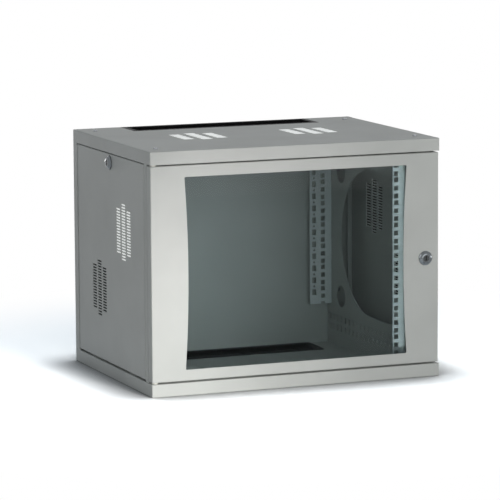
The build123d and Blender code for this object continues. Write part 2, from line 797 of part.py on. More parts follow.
door_barrel = frame_front + sheet + cam_clearance - seam - door_front
side_barrel = panel_face - return_x + cam_clearance - seam
door_lock_plane = Plane((door_lock_x, door_front, middle_z), x_dir=(1, 0, 0), z_dir=(0, -1, 0))
left_lock_plane = Plane((-panel_face, panel_middle, side_lock_z), x_dir=(0, 0, 1), z_dir=(-1, 0, 0))
right_lock_plane = Plane((panel_face, panel_middle, side_lock_z), x_dir=(0, 0, 1), z_dir=(1, 0, 0))
for name, plane, barrel, reach, turned in (
    ("door", door_lock_plane, door_barrel, door_cam_reach, 0),
    ("left", left_lock_plane, side_barrel, side_cam_reach, 90),
    ("right", right_lock_plane, side_barrel, side_cam_reach, 90),
):
    nut_place = plane.location * Location((0, 0, -sheet - lock_nut_thickness))
    nut = hex_nut(lock_nut_width, barrel_diameter + 2 * thread_play, lock_nut_thickness)
    export(lock_body(barrel).moved(plane.location), name + "_lock_body")
    export(nut.moved(nut_place), name + "_lock_nut")
    export(lock_plug(barrel, turned).moved(plane.location), name + "_lock_plug")
    export(lock_cam(barrel, reach).moved(plane.location), name + "_lock_cam")
    export(cam_screw(barrel).moved(plane.location), name + "_cam_screw")

# Screws of the roof, floor and back, in the frames' feet and rear flanges
screw_y = depth / 2 - roof_screw_margin
corners = [(x, middle_y + y) for x in (-roof_screw_x, roof_screw_x) for y in (-screw_y, screw_y)]
shank = screw_diameter
roof_screw = pan_head_screw(shank, screw_head, screw_head_height, 2 * sheet + nut_thickness + thread_end)
export(placed(roof_screw, *[Location((x, y, height)) for x, y in corners]), "roof_screws")
roof_nut = hex_nut(nut_width, shank + 2 * thread_play, nut_thickness)
roof_nut_z = roof_under - sheet - nut_thickness
export(placed(roof_nut, *[Location((x, y, roof_nut_z)) for x, y in corners]), "roof_nuts")
short_screw = pan_head_screw(shank, screw_head, screw_head_height, 2 * sheet - seam)
export(placed(short_screw, *[Location((x, y, 2 * sheet)) for x, y in corners]), "floor_screws")
back_screw_places = [
    Plane((x, back_inner - sheet, middle_z + z), z_dir=(0, -1, 0)).location
    for x in (-wall_bolt_spacing_x / 2, wall_bolt_spacing_x / 2)
    for z in (-back_screw_pitch, 0, back_screw_pitch)
]
export(placed(short_screw, *back_screw_places), "back_screws")

# Rail bolts through the rail flanges and the web slots, nuts outside the web
rail_bolt_length = rail_sheet + sheet + rail_nut_thickness + thread_end
rail_bolt = pan_head_screw(rail_bolt_diameter, rail_bolt_head, rail_bolt_head_height, rail_bolt_length)
rail_nut = hex_nut(rail_nut_width, rail_bolt_diameter + 2 * thread_play, rail_nut_thickness)
bolt_points = [(front_bolt_y, z) for z in slot_rows] + [(slot_last_y, z) for z in rear_bolt_z]
bolt_places = []
nut_places = []
for side in (-1, 1):
    for y, z in bolt_points:
        bolt_places.append(Plane((side * (web_inner - rail_sheet), y, z), z_dir=(-side, 0, 0)).location)
        nut_places.append(Plane((side * (web_inner + sheet), y, z), z_dir=(side, 0, 0)).location)
export(placed(rail_bolt, *bolt_places), "rail_bolts")
export(placed(rail_nut, *nut_places), "rail_nuts")

# Rubber bumpers that the door closes on, on the right post behind the door's lip
with BuildPart() as bumper:
    bumper_height = door_seat_gap - bumper_play
    Cylinder(bumper_diameter / 2, bumper_height, align=(Align.CENTER, Align.CENTER, Align.MIN))
bumper_x = door_half - door_return / 2
bumper_places = [
    Plane((bumper_x, frame_front, z), z_dir=(0, -1, 0)).location
    for z in (door_bottom + bumper_inset, door_top - bumper_inset)
]
export(placed(bumper.part, *bumper_places), "door_bumpers")

# Earthing stud on the left frame's foot, with two nuts
with BuildPart() as earthing_stud:
    with Locations((-earth_stud_x, middle_y, 2 * sheet)):
        Cylinder(earth_stud / 2, earth_stud_length, align=(Align.CENTER, Align.CENTER, Align.MIN))
export(earthing_stud.part, "earthing_stud")
earth_nut = hex_nut(rail_nut_width, earth_stud + 2 * thread_play, rail_nut_thickness)
earth_nut_places = [
    Location((-earth_stud_x, middle_y, 2 * sheet + level * (rail_nut_thickness + seam))) for level in (0, 1)
]
export(placed(earth_nut, *earth_nut_places), "earthing_nuts")
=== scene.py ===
import json
import math

import bmesh
import bpy
import numpy as np
from mathutils import Matrix, Vector


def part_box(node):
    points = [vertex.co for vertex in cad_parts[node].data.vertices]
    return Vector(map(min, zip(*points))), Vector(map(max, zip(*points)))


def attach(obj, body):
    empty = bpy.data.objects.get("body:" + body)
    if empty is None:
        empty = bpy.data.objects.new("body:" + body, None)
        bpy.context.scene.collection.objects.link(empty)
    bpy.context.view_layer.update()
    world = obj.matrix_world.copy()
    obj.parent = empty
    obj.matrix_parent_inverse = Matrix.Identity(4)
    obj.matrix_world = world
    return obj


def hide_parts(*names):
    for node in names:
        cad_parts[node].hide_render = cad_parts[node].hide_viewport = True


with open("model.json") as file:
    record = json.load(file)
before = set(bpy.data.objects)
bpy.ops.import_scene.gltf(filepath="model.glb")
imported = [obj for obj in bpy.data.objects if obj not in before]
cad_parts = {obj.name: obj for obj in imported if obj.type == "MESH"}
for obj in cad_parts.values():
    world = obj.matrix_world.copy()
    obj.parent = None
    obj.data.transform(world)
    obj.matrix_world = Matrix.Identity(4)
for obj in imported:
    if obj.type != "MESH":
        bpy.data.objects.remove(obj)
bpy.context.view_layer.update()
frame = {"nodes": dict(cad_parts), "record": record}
nodes = frame["nodes"]
record = frame["record"]
scene = bpy.context.scene
print("frame loaded:", len(nodes), "nodes")


def linearColour(hexCode):
    # sRGB hex to linear light, by the standard two-part curve
    value = np.array([int(hexCode[i:i + 2], 16) for i in (0, 2, 4)]) / 255.0
    linear = np.where(value <= 0.04045, value / 12.92, ((value + 0.055) / 1.055) ** 2.4)
    return (*linear.tolist(), 1.0)


def addNode(tree, kind, settings=None, links=None):
    # settings go to sockets by name or number, or else to the node itself; links bring in other nodes' outputs,
    # by the same names or numbers
    node = tree.nodes.new(kind)
    for key, value in (settings or {}).items():
        if isinstance(key, int) or key in node.inputs.keys():
            node.inputs[key].default_value = value
        else:
            setattr(node, key, value)
    for key, source in (links or {}).items():
        tree.links.new(source, node.inputs[key])
    return node


def emptyMaterial(name):
    # a material with nothing in its tree yet
    material = bpy.data.materials.new(name)
    material.use_nodes = True
    material.node_tree.nodes.clear()
    return material, material.node_tree


def newMaterial(name, settings):
    # a Principled shader on its output, with the plain settings on its own sockets
    material, tree = emptyMaterial(name)
    shader = addNode(tree, "ShaderNodeBsdfPrincipled", settings)
    addNode(tree, "ShaderNodeOutputMaterial", links={"Surface": shader.outputs["BSDF"]})
    return material, tree, shader


def twoTones(look):
    # what a Mix node of colours needs: its sockets 6 and 7 hold the two tones, and output 2 gives the result
    return {"data_type": "RGBA", 6: linearColour(look["dark"]), 7: linearColour(look["light"])}


def powderCoat(name, look):
    # polyester powder coat baked on steel sheet: a satin skin with slight orange peel, and hardly any change
    # of tone from place to place; real peel is about 1 mm wide, drawn at 2.4 mm so that it shows
    material, tree, shader = newMaterial(name, {
        "Roughness": look["roughness"], "IOR": 1.5, "Specular IOR Level": look["shine"]})
    place = addNode(tree, "ShaderNodeTexCoord").outputs["Object"]
    tone = addNode(tree, "ShaderNodeTexNoise", {
        "Scale": 1000.0 / look["toneMm"], "Detail": 3.0}, {"Vector": place})
    spread = addNode(tree, "ShaderNodeMapRange", {
        "From Min": 0.35, "From Max": 0.65, "To Min": 0.0, "To Max": 1.0}, {"Value": tone.outputs["Fac"]})
    paint = addNode(tree, "ShaderNodeMix", twoTones(look), {0: spread.outputs["Result"]})
    tree.links.new(paint.outputs[2], shader.inputs["Base Color"])
    peel = addNode(tree, "ShaderNodeTexNoise", {
        "Scale": 1000.0 / look["peelMm"], "Detail": 2.0}, {"Vector": place})
    bump = addNode(tree, "ShaderNodeBump", {
        "Strength": 1.0, "Distance": look["peelDepthMm"] / 1000.0}, {"Height": peel.outputs["Fac"]})
    tree.links.new(bump.outputs["Normal"], shader.inputs["Normal"])
    return material


def platedMetal(name, look):
    # electroplated or turned metal: bright, with a faint cloudiness in its gloss
    material, tree, shader = newMaterial(name, {"Metallic": 1.0})
    place = addNode(tree, "ShaderNodeTexCoord").outputs["Object"]
    cloud = addNode(tree, "ShaderNodeTexNoise", {
        "Scale": 1000.0 / look["cloudMm"], "Detail": 3.0}, {"Vector": place})
    metal = addNode(tree, "ShaderNodeMix", twoTones(look), {0: cloud.outputs["Fac"]})
    tree.links.new(metal.outputs[2], shader.inputs["Base Color"])
    gloss = addNode(tree, "ShaderNodeMapRange", {
        "From Min": 0.3, "From Max": 0.7, "To Min": look["smooth"], "To Max": look["rough"]},
        {"Value": cloud.outputs["Fac"]})
    tree.links.new(gloss.outputs["Result"], shader.inputs["Roughness"])
    return material


def grainedSkin(name, look, detail, settings):
    # one noise serves twice: as the change of tone and as the height of the grain
    material, tree, shader = newMaterial(name, settings)
    place = addNode(tree, "ShaderNodeTexCoord").outputs["Object"]
    grain = addNode(tree, "ShaderNodeTexNoise", {
        "Scale": 1000.0 / look["grainMm"], "Detail": detail}, {"Vector": place})
    colour = addNode(tree, "ShaderNodeMix", twoTones(look), {0: grain.outputs["Fac"]})
    tree.links.new(colour.outputs[2], shader.inputs["Base Color"])
    bump = addNode(tree, "ShaderNodeBump", {
        "Strength": 1.0, "Distance": look["grainDepthMm"] / 1000.0}, {"Height": grain.outputs["Fac"]})
    tree.links.new(bump.outputs["Normal"], shader.inputs["Normal"])
    return material


def mouldedSkin(name, look):
    # moulded or extruded polymer: even colour under a fine grain
    return grainedSkin(name, look, 4.0, {
        "Roughness": look["roughness"], "IOR": 1.5, "Specular IOR Level": look["shine"]})


def needledFleece(name, look):
    # needled polyester fibre: matt, with soft tufts and a little sheen; a painted glow, which the fleece
    # gives off in its own white though it is no lamp, makes it whiter than paint in the shade
    return grainedSkin(name, look, 6.0, {
        "Roughness": 0.95, "Sheen Weight": 0.3, "Sheen Roughness": 0.5,
        "Emission Color": linearColour(look["light"]), "Emission Strength": look["paintedGlow"]})


def tintedGlass(name, look):
    # float glass, tinted in the melt and heat toughened: clear and even, blue-grey; light that enters through
    # it is tinted too; its index is lower than the usual 1.5, which keeps the pale room's haze off the dark
    # inside
    material, tree, shader = newMaterial(name, {
        "Base Color": linearColour(look["tint"]), "Roughness": look["roughness"], "IOR": look["ior"],
        "Specular IOR Level": look["gloss"], "Transmission Weight": 1.0})
    output = next(node for node in tree.nodes if node.type == "OUTPUT_MATERIAL")
    path = addNode(tree, "ShaderNodeLightPath")
    clear = addNode(tree, "ShaderNodeBsdfTransparent", {"Color": linearColour(look["shade"])})
    passed = addNode(tree, "ShaderNodeMixShader", links={
        0: path.outputs["Is Shadow Ray"], 1: shader.outputs["BSDF"], 2: clear.outputs["BSDF"]})
    tree.links.new(passed.outputs[0], output.inputs["Surface"])
    return material


finishes = {
    # the sheets: light grey satin paint; the rails: paler and a little glossier
    "grey_paint": powderCoat("lightGreyPowderCoat", {
        "dark": "c0c2be", "light": "c8cac6", "roughness": 0.5, "shine": 0.3,
        "toneMm": 160.0, "peelMm": 2.4, "peelDepthMm": 0.03}),
    "rail_paint": powderCoat("paleRailPowderCoat", {
        "dark": "dfe6e6", "light": "e8eeee", "roughness": 0.4, "shine": 0.5,
        "toneMm": 90.0, "peelMm": 2.4, "peelDepthMm": 0.02}),
    # screws and nuts: blue-white zinc; locks: smooth nickel that mirrors the room, with a darker turned plug
    "zinc_plated": platedMetal("brightZincPlate", {
        "dark": "8e9296", "light": "a9acaf", "cloudMm": 3.0, "smooth": 0.3, "rough": 0.45}),
    "nickel_plated": platedMetal("nickelPlatedZincAlloy", {
        "dark": "55595a", "light": "70757a", "cloudMm": 6.0, "smooth": 0.12, "rough": 0.22}),
    "lock_plug": platedMetal("satinTurnedSteel", {
        "dark": "383a3b", "light": "484a4b", "cloudMm": 1.5, "smooth": 0.2, "rough": 0.4}),
    # brush holders and bristles: near black, so matt that the cable slots read as openings
    "black_plastic": mouldedSkin("blackMouldedAbs", {
        "dark": "101112", "light": "18191b", "roughness": 0.6, "shine": 0.15,
        "grainMm": 1.6, "grainDepthMm": 0.03}),
    "black_bristle": mouldedSkin("blackNylonBristle", {
        "dark": "040405", "light": "0c0c0e", "roughness": 0.8, "shine": 0.04,
        "grainMm": 2.0, "grainDepthMm": 0.01}),
    # filter pads: bright white with soft tufts, and a painted glow of their own
    "filter_fleece": needledFleece("whitePolyesterFleece", {
        "dark": "e6e8e5", "light": "f6f8f6", "paintedGlow": 0.6, "grainMm": 3.5, "grainDepthMm": 0.4}),
    # seals: dull black rubber, and foam whose cut cells show as pits
    "rubber": mouldedSkin("blackMouldedRubber", {
        "dark": "101010", "light": "1c1c1c", "roughness": 0.75, "shine": 0.3,
        "grainMm": 1.5, "grainDepthMm": 0.02}),
    "foam_tape": mouldedSkin("blackClosedCellFoam", {
        "dark": "0d0d0e", "light": "1e1e1f", "roughness": 0.9, "shine": 0.1,
        "grainMm": 1.2, "grainDepthMm": 0.15}),
    # the pane, and the milky white bushes that it swings on
    "clear_glass": tintedGlass("tintedFloatGlass", {
        "tint": "b0b8ba", "shade": "d4d9da", "roughness": 0.0, "ior": 1.12, "gloss": 0.5}),
    "nylon": mouldedSkin("naturalMouldedNylon", {
        "dark": "d5d5cc", "light": "e4e4dc", "roughness": 0.45, "shine": 0.5,
        "grainMm": 2.0, "grainDepthMm": 0.01}),
}
for part in record["subparts"]:
    mesh = nodes[part["node"]].data
    mesh.materials.clear()
    mesh.materials.append(finishes[part["material_slot"]])
print("materials made:", len(finishes))


def meshObject(name, vertices, faces, slot):
    # one smooth-shaded object with its place in its mesh
    mesh = bpy.data.meshes.new(name)
    mesh.from_pydata(np.asarray(vertices).tolist(), [], [tuple(face) for face in faces])
    mesh.validate()
    mesh.polygons.foreach_set("use_smooth", [True] * len(mesh.polygons))
    mesh.materials.append(finishes[slot])
    mesh.update()
    piece = bpy.data.objects.new(name, mesh)
    scene.collection.objects.link(piece)
    return piece


def gridFaces(rows, columns, closeRows, closeColumns):
    # quads between neighbours on a grid of rows x columns; a closed direction joins its end to its start
    r = np.arange(rows if closeRows else rows - 1)
    c = np.arange(columns if closeColumns else columns - 1)
    r, c = [a.ravel() for a in np.meshgrid(r, c, indexing="ij")]
    rNext = (r + 1) % rows
    cNext = (c + 1) % columns
    corners = [r * columns + c, r * columns + cNext, rNext * columns + cNext, rNext * columns + c]
    return np.stack(corners, 1)


def turnedSurface(radius, height):
    # radius and height are arrays of turn x profile; each point stands at its radius, turned round +Z, and
    # the profile runs as a closed loop
    turns = radius.shape[0]
    angle = np.linspace(0, 2 * math.pi, turns, endpoint=False)[:, None]
    points = np.stack([radius * np.cos(angle), radius * np.sin(angle), height + 0 * angle], -1)
    return points.reshape(-1, 3), gridFaces(turns, radius.shape[1], True, True)


def threadRadius(crest, depth, pitch, height, angle):
    # a helical thread: the radius falls from the crest by a triangle wave of height / pitch plus turns made
    phase = height / pitch + angle / (2 * math.pi)
    wave = 2 * np.abs(phase - np.floor(phase) - 0.5)
    return crest - depth * wave


def pointing(place, direction):
    # a turn that carries +Z to direction, and the place, as a 3 x 4 matrix
    z = np.array(direction, float)
    side = np.array([0, 0, 1.0]) if abs(z[2]) < 0.5 else np.array([1.0, 0, 0])
    x = np.cross(side, z)
    x /= np.linalg.norm(x)
    return np.column_stack([x, np.cross(z, x), z, np.array(place, float)])


def gathered(shapes):
    # many (vertices, faces, matrix) as one list of vertices and faces, in metres from millimetres
    vertices, faces, start = [], [], 0
    for points, quads, matrix in shapes:
        moved = points / 1000.0 @ matrix[:, :3].T + matrix[:, 3]
        vertices.append(moved)
        faces += [tuple(int(i) + start for i in face) for face in quads]
        start += len(points)
    return np.concatenate(vertices), faces


def recalculated(piece):
    # all faces outwards, after doubles are merged
    mesh = bmesh.new()
    mesh.from_mesh(piece.data)
    bmesh.ops.remove_doubles(mesh, verts=mesh.verts, dist=1e-6)
    bmesh.ops.recalc_face_normals(mesh, faces=mesh.faces)
    mesh.to_mesh(piece.data)
    mesh.free()
    return piece


def sharpened(piece, degrees):
    # edges steeper than the angle stay crisp
    piece.data.set_sharp_from_angle(angle=math.radians(degrees))


threadLook = {"turns": 32, "stepsPerPitch": 6, "leastSteps": 8, "depthShare": 0.5, "tipShare": 0.6}


def threadedRod(diameter, length, pitch):
    # a rod below the XY plane: threaded wall between two flat ends that meet on the axis
    look = threadLook
    steps = max(look["leastSteps"], int(length / pitch * look["stepsPerPitch"]))
    z = np.linspace(0, -length, steps)
    angle = np.linspace(0, 2 * math.pi, look["turns"], endpoint=False)[:, None]
    wall = threadRadius(diameter / 2, pitch * look["depthShare"], pitch, z[None, :], angle)
    wall[:, 0] = diameter / 2
    wall[:, -1] = diameter / 2 - pitch * look["tipShare"]
    middle = np.full((look["turns"], 1), 1e-6)
    radius = np.concatenate([middle, wall, middle], 1)
    height = np.concatenate([[0], z, [-length]])[None, :] * np.ones((look["turns"], 1))
    return turnedSurface(radius, height)


# sizes are in millimetres; places are in metres, each with the direction that the head or nut points in
screwLook = {"slotWidthShare": 0.16, "slotLengthShare": 0.56, "pitchShare": 0.16, "sharpDegrees": 32,
             "slotWalls": (0.9, 1.1), "slotEnds": (0.97, 1.03), "rings": (0.7, 0.85, 0.94, 1.0),
             "domeDrop": 0.55, "slotFloor": 0.3}
trayScrewSpots = [(x, y) for x in (-0.270, 0.270) for y in (-0.172, 0.176)]
railBoltSpots = ((-0.1485, 0.038), (-0.1485, 0.058), (-0.1485, 0.412), (-0.1485, 0.432),
                 (0.2115, 0.174675), (0.2115, 0.432))
traySize = {"body": "cabinet", "diameter": 5.0, "head": 9.5, "thickness": 2.6}
camSize = {"diameter": 4.0, "head": 8.0, "thickness": 2.2, "length": 6.0}
screwSets = {
    "roof_screws": {**traySize, "length": 8.0, "at": [
        ((x, y, 0.470), (0, 0, 1)) for x, y in trayScrewSpots]},
    "floor_screws": {**traySize, "length": 2.7, "at": [
        ((x, y, 0.003), (0, 0, 1)) for x, y in trayScrewSpots]},
    "back_screws": {**traySize, "length": 2.7, "at": [
        ((x, 0.224, z), (0, -1, 0)) for x in (-0.276, 0.276) for z in (0.110, 0.235, 0.360)]},
    "rail_bolts": {"body": "cabinet", "diameter": 6.0, "head": 11.0, "thickness": 3.3, "length": 9.5, "at": [
        ((side * 0.2505, y, z), (-side, 0, 0)) for side in (-1, 1) for y, z in railBoltSpots]},
    "door_cam_screw": {"body": "door_lock", **camSize, "at": [((0.2704, -0.194, 0.235), (0, 1, 0))]},
    "left_cam_screw": {"body": "left_lock", **camSize, "at": [((-0.285, 0.010, 0.426), (1, 0, 0))]},
    "right_cam_screw": {"body": "right_lock", **camSize, "at": [((0.285, 0.010, 0.426), (-1, 0, 0))]},
}


def crossHead(diameter, thickness):
    # a square grid pressed onto a disc by x = u sqrt(1 - v^2 / 2), y = v sqrt(1 - u^2 / 2); the top is a low
    # dome, and inside the cross of its driver it drops to a floor
    look = screwLook
    half = diameter / 2
    w, l = look["slotWidthShare"], look["slotLengthShare"]
    sides, ends = [w * share for share in look["slotWalls"]], [l * share for share in look["slotEnds"]]
    marks = np.array([0, *sides, *ends, *look["rings"]])
    line = np.concatenate([-marks[:0:-1], marks])
    u, v = np.meshgrid(line, line, indexing="ij")
    x = u * np.sqrt(1 - v ** 2 / 2)
    y = v * np.sqrt(1 - u ** 2 / 2)
    r = np.sqrt(x ** 2 + y ** 2)
    dome = thickness * (1 - look["domeDrop"] * np.clip(r, 0, 1) ** 4)
    inside = ((np.abs(u) < w) & (np.abs(v) < l)) | ((np.abs(v) < w) & (np.abs(u) < l))
    top = np.where(inside, thickness * look["slotFloor"], dome)
    count = len(line)
    points = np.stack([x * half, y * half, top], -1).reshape(-1, 3)
    faces = gridFaces(count, count, False, False)[:, ::-1]
    # the grid's rim goes down to the sheet as a skirt, and a fan closes it underneath
    ring = np.concatenate([np.arange(count) * count, (count - 1) * count + np.arange(1, count),
                           np.arange(count - 2, -1, -1) * count + count - 1, np.arange(count - 2, 0, -1)])
    skirt = points[ring] * [1, 1, 0]
    first = len(points)
    points = np.concatenate([points, skirt, [[0, 0, 0]]])
    following = np.roll(np.arange(len(ring)), -1)
    walls = [(ring[i], ring[following[i]], first + following[i], first + i) for i in range(len(ring))]
    under = [(first + i, first + following[i], first + len(ring)) for i in range(len(ring))]
    return points, [tuple(face) for face in faces] + walls + under


for node, spec in screwSets.items():
    headShape = crossHead(spec["head"], spec["thickness"])
    shank = threadedRod(spec["diameter"], spec["length"], spec["diameter"] * screwLook["pitchShare"])
    shapes = [(*shape, pointing(*at)) for at in spec["at"] for shape in (headShape, shank)]
    piece = meshObject(node + "_crossed", *gathered(shapes), "zinc_plated")
    sharpened(recalculated(piece), screwLook["sharpDegrees"])
    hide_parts(node)
    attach(piece, spec["body"])


nutLook = {"turns": 72, "faceShare": 0.96, "chamferDegrees": 30, "countersinkShare": 0.1}
smallNut = {"body": "cabinet", "slot": "zinc_plated", "flats": 10.0, "bore": 6.1, "thickness": 5.0}
lockNut = {"slot": "nickel_plated", "flats": 24.0, "bore": 19.1, "thickness": 5.0}
nutSets = {
    "rail_nuts": {**smallNut, "at": [
        ((side * 0.254, y, z), (side, 0, 0)) for side in (-1, 1) for y, z in railBoltSpots]},
    "roof_nuts": {"body": "cabinet", "slot": "zinc_plated", "flats": 8.0, "bore": 5.1, "thickness": 4.0,
                  "at": [((x, y, 0.463), (0, 0, 1)) for x, y in trayScrewSpots]},
    "earthing_nuts": {**smallNut, "at": [((-0.268, 0.002, z), (0, 0, 1)) for z in (0.003, 0.0083)]},
    "door_lock_nut": {"body": "door", **lockNut, "at": [((0.2704, -0.2195, 0.235), (0, 1, 0))]},
    "left_lock_nut": {"body": "left_panel", **lockNut, "at": [((-0.2978, 0.010, 0.426), (1, 0, 0))]},
    "right_lock_nut": {"body": "right_panel", **lockNut, "at": [((0.2978, 0.010, 0.426), (-1, 0, 0))]},
}


def hexNut(acrossFlats, bore, thickness):
    # the outline is apothem / cos(angle from the nearest flat); a cone takes the corners off each end
    look = nutLook
    angle = np.linspace(0, 2 * math.pi, look["turns"], endpoint=False)
    fromFlat = (angle + math.pi / 6) % (math.pi / 3) - math.pi / 6
    outline = acrossFlats / 2 / np.cos(fromFlat)
    faceCircle = acrossFlats / 2 * look["faceShare"]
    drop = np.maximum(outline - faceCircle, 0) * math.tan(math.radians(look["chamferDegrees"]))
    one = np.ones(look["turns"])
    sink = thickness * look["countersinkShare"]
    radius = np.stack([one * bore / 2, one * (bore / 2 + sink), one * faceCircle, outline, outline,
                       one * faceCircle, one * (bore / 2 + sink), one * bore / 2], 1)
    height = np.stack([one * sink, 0 * one, 0 * one, drop, thickness - drop,
                       one * thickness, one * thickness, one * (thickness - sink)], 1)
    return turnedSurface(radius, height)


for node, spec in nutSets.items():
    nutShape = hexNut(spec["flats"], spec["bore"], spec["thickness"])
    shapes = [(*nutShape, pointing(*at)) for at in spec["at"]]
    piece = meshObject(node + "_chamfered", *gathered(shapes), spec["slot"])
    sharpened(recalculated(piece), screwLook["sharpDegrees"])
    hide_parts(node)
    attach(piece, spec["body"])

studLook = {"diameter": 6.0, "length": 16.0, "pitch": 1.0, "at": ((-0.268, 0.002, 0.019), (0, 0, 1))}
studShape = threadedRod(studLook["diameter"], studLook["length"], studLook["pitch"])
studMesh = gathered([(*studShape, pointing(*studLook["at"]))])
stud = meshObject("earthing_stud_threaded", *studMesh, "zinc_plated")
sharpened(recalculated(stud), screwLook["sharpDegrees"])
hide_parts("earthing_stud")
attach(stud, "cabinet")
print("fasteners made")


lockLook = {"bezel": 28.0, "bezelHeight": 6.0, "bezelEdge": 2.2, "bezelTop": 19.0, "rim": 0.5, "rimSteps": 5,
            "topStart": 0.6, "topShare": 0.6, "bore": 12.16, "mouthBevel": 0.5, "endBevel": 0.3,
            "barrel": 19.0, "pitch": 1.0, "threadDepth": 0.45, "rootStep": 0.7, "threadStart": 2.0,
            "stepsPerPitch": 6, "turns": 96, "sharpDegrees": 30}
lockSets = {
    "door_lock_body": {"body": "door", "barrel": 24.7, "at": ((0.2704, -0.221, 0.235), (0, -1, 0))},
    "left_lock_body": {"body": "left_panel", "barrel": 12.0, "at": ((-0.2993, 0.010, 0.426), (-1, 0, 0))},
    "right_lock_body": {"body": "right_panel", "barrel": 12.0, "at": ((0.2993, 0.010, 0.426), (1, 0, 0))},
}


def lockBody(barrelLength):
    # turned profile of bore, threaded barrel and bezel, closed as a loop: the bezel's cone has rounded
    # shoulders, worked out as parts of a small circle
    look = lockLook
    bore, barrel, rim = look["bore"] / 2, look["barrel"] / 2, look["rim"]
    turn = np.linspace(0, math.pi / 2, look["rimSteps"])
    topTurn = turn * look["topShare"] + look["topStart"]
    sideRadius = look["bezel"] / 2 - rim + rim * np.cos(turn)
    sideHeight = look["bezelEdge"] - rim + rim * np.sin(turn)
    topRadius = look["bezelTop"] / 2 - rim + rim * np.cos(topTurn)
    topHeight = look["bezelHeight"] - rim + rim * np.sin(topTurn)
    end = -barrelLength + look["endBevel"]
    threads = np.arange(-look["threadStart"], end, -look["pitch"] / look["stepsPerPitch"])[::-1]
    boreRadius = [bore + look["mouthBevel"], bore, bore, bore + look["endBevel"], barrel - look["rootStep"]]
    mouth = look["bezelHeight"]
    boreHeight = [mouth, mouth - look["mouthBevel"], end, -barrelLength, -barrelLength]
    profileRadius = np.concatenate([
        boreRadius, np.full(len(threads), barrel), [barrel, look["bezel"] / 2], sideRadius, topRadius[:-1]])
    profileHeight = np.concatenate([boreHeight, threads, [0.0, 0.0], sideHeight, topHeight[:-1]])
    angle = np.linspace(0, 2 * math.pi, look["turns"], endpoint=False)[:, None]
    radius = profileRadius[None, :] * np.ones_like(angle)
    first = len(boreRadius)
    cut = threadRadius(barrel, look["threadDepth"], look["pitch"], threads[None, :], angle)
    radius[:, first:first + len(threads)] = cut
    return turnedSurface(radius, profileHeight[None, :] * np.ones_like(angle))


for node, spec in lockSets.items():
    shapes = [(*lockBody(spec["barrel"]), pointing(*spec["at"]))]
    piece = meshObject(node + "_turned", *gathered(shapes), "nickel_plated")
    sharpened(recalculated(piece), lockLook["sharpDegrees"])
    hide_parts(node)
    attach(piece, spec["body"])
print("locks made")


# metres; the two ranges are shares of the droop and of how far a tip may cross the middle
bristleLook = {"pitch": 0.0011, "radius": 0.00048, "layers": 4, "margin": 1.4, "lean": 0.0012,
               "droop": 0.0010, "droopRange": (-0.3, 1.0), "cross": 0.0016, "crossRange": (-0.2, 1.0),
               "hang": 0.001, "seed": 7}


def bristleRow(low, high, rootY, tipY, upwards, draws):
    # each bristle is a bent three-sided rod: its line is root + t (tip - root), sinking by droop t^2, and its
    # radius tapers to two thirds at the tip
    look = bristleLook
    count = int((high[0] - low[0]) / look["pitch"])
    layer = np.repeat(np.arange(look["layers"]), count)
    total = len(layer)
    margin = look["radius"] * look["margin"]
    x = np.tile(np.linspace(low[0] + margin, high[0] - margin, count), look["layers"])
    x += (layer % 2) * look["pitch"] / 2
    depths = np.linspace(low[2] + margin, high[2] - margin, look["layers"])
    z = depths[layer]
    way = np.sign(tipY - rootY)
    lean = draws.normal(0, look["lean"], total)
    sink = draws.uniform(*look["droopRange"], total) * look["droop"] * upwards
    reach = tipY - rootY + draws.uniform(*look["crossRange"], total) * look["cross"] * way
    t = np.array([0.0, 0.5, 1.0])[None, :, None]
    angle = np.array([0, 2, 4])[None, None, :] * math.pi / 3
    thick = look["radius"] * (1 - t / 3)
    px = x[:, None, None] + lean[:, None, None] * t + thick * np.cos(angle)
    py = rootY + reach[:, None, None] * t + 0 * angle
    pz = z[:, None, None] - sink[:, None, None] * t ** 2 + thick * np.sin(angle)
    pz = np.clip(pz, low[2] - look["hang"], high[2])
    points = np.stack([px, py, pz], -1).reshape(-1, 3)
    # three rings of three points make six side faces and two caps
    start = (np.arange(total) * 9)[:, None]
    sides = [start + np.array([[ring + a, ring + b, ring + b + 3, ring + a + 3]])
             for ring in (0, 3) for a, b in ((0, 1), (1, 2), (2, 0))]
    caps = [start + np.array([[2, 1, 0]]), start + np.array([[6, 7, 8]])]
    return points, [tuple(face) for block in sides + caps for face in block.tolist()]


draws = np.random.default_rng(bristleLook["seed"])
for node, upwards in (("roof_brush_combs", 1), ("floor_brush_combs", -1)):
    low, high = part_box(node)
    middleY = (low[1] + high[1]) / 2
    frontPoints, frontFaces = bristleRow(low, high, low[1], middleY, upwards, draws)
    rearPoints, rearFaces = bristleRow(low, high, high[1], middleY, upwards, draws)
    points = np.concatenate([frontPoints, rearPoints])
    faces = frontFaces + [tuple(i + len(frontPoints) for i in face) for face in rearFaces]
    piece = meshObject(node + "_bristles", points, faces, "black_bristle")
    recalculated(piece)
    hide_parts(node)
    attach(piece, "cabinet")
print("bristles made")


# tuftWaves are in radians a metre, so the tufts are about 4 to 7 mm wide; each pad has its middle and half its
# sizes
fleeceLook = {"stepMm": 2.5, "leastSteps": 8, "edgePower": 10.0, "loft": 0.00035, "inset": 0.0001,
              "tuftWaves": (1570, 910, 1390, 830)}
padSets = {
    "roof_filter_pads": {
        "body": "cabinet", "thinAxis": 2, "slot": "filter_fleece", "node": "roof_filter_pads",
        "pads": [((x, 0.002, 0.467), (0.062, 0.0607, 0.0015)) for x in (-0.117, 0.117)]},
    "left_filter_pad": {
        "body": "left_panel", "thinAxis": 0, "slot": "filter_fleece", "node": "left_filter_pad",
        "pads": [((-0.2963, -0.067, 0.2985), (0.0015, 0.0465, 0.0607))]},
    # painted shade: a dark foam sheet behind the left panel's lower vents, which makes them look dark
    "painted_shade_pad": {
        "body": "left_panel", "thinAxis": 0, "slot": "foam_tape", "node": None,
        "pads": [((-0.2963, 0.076, 0.1705), (0.0015, 0.0465, 0.0607))]},
}


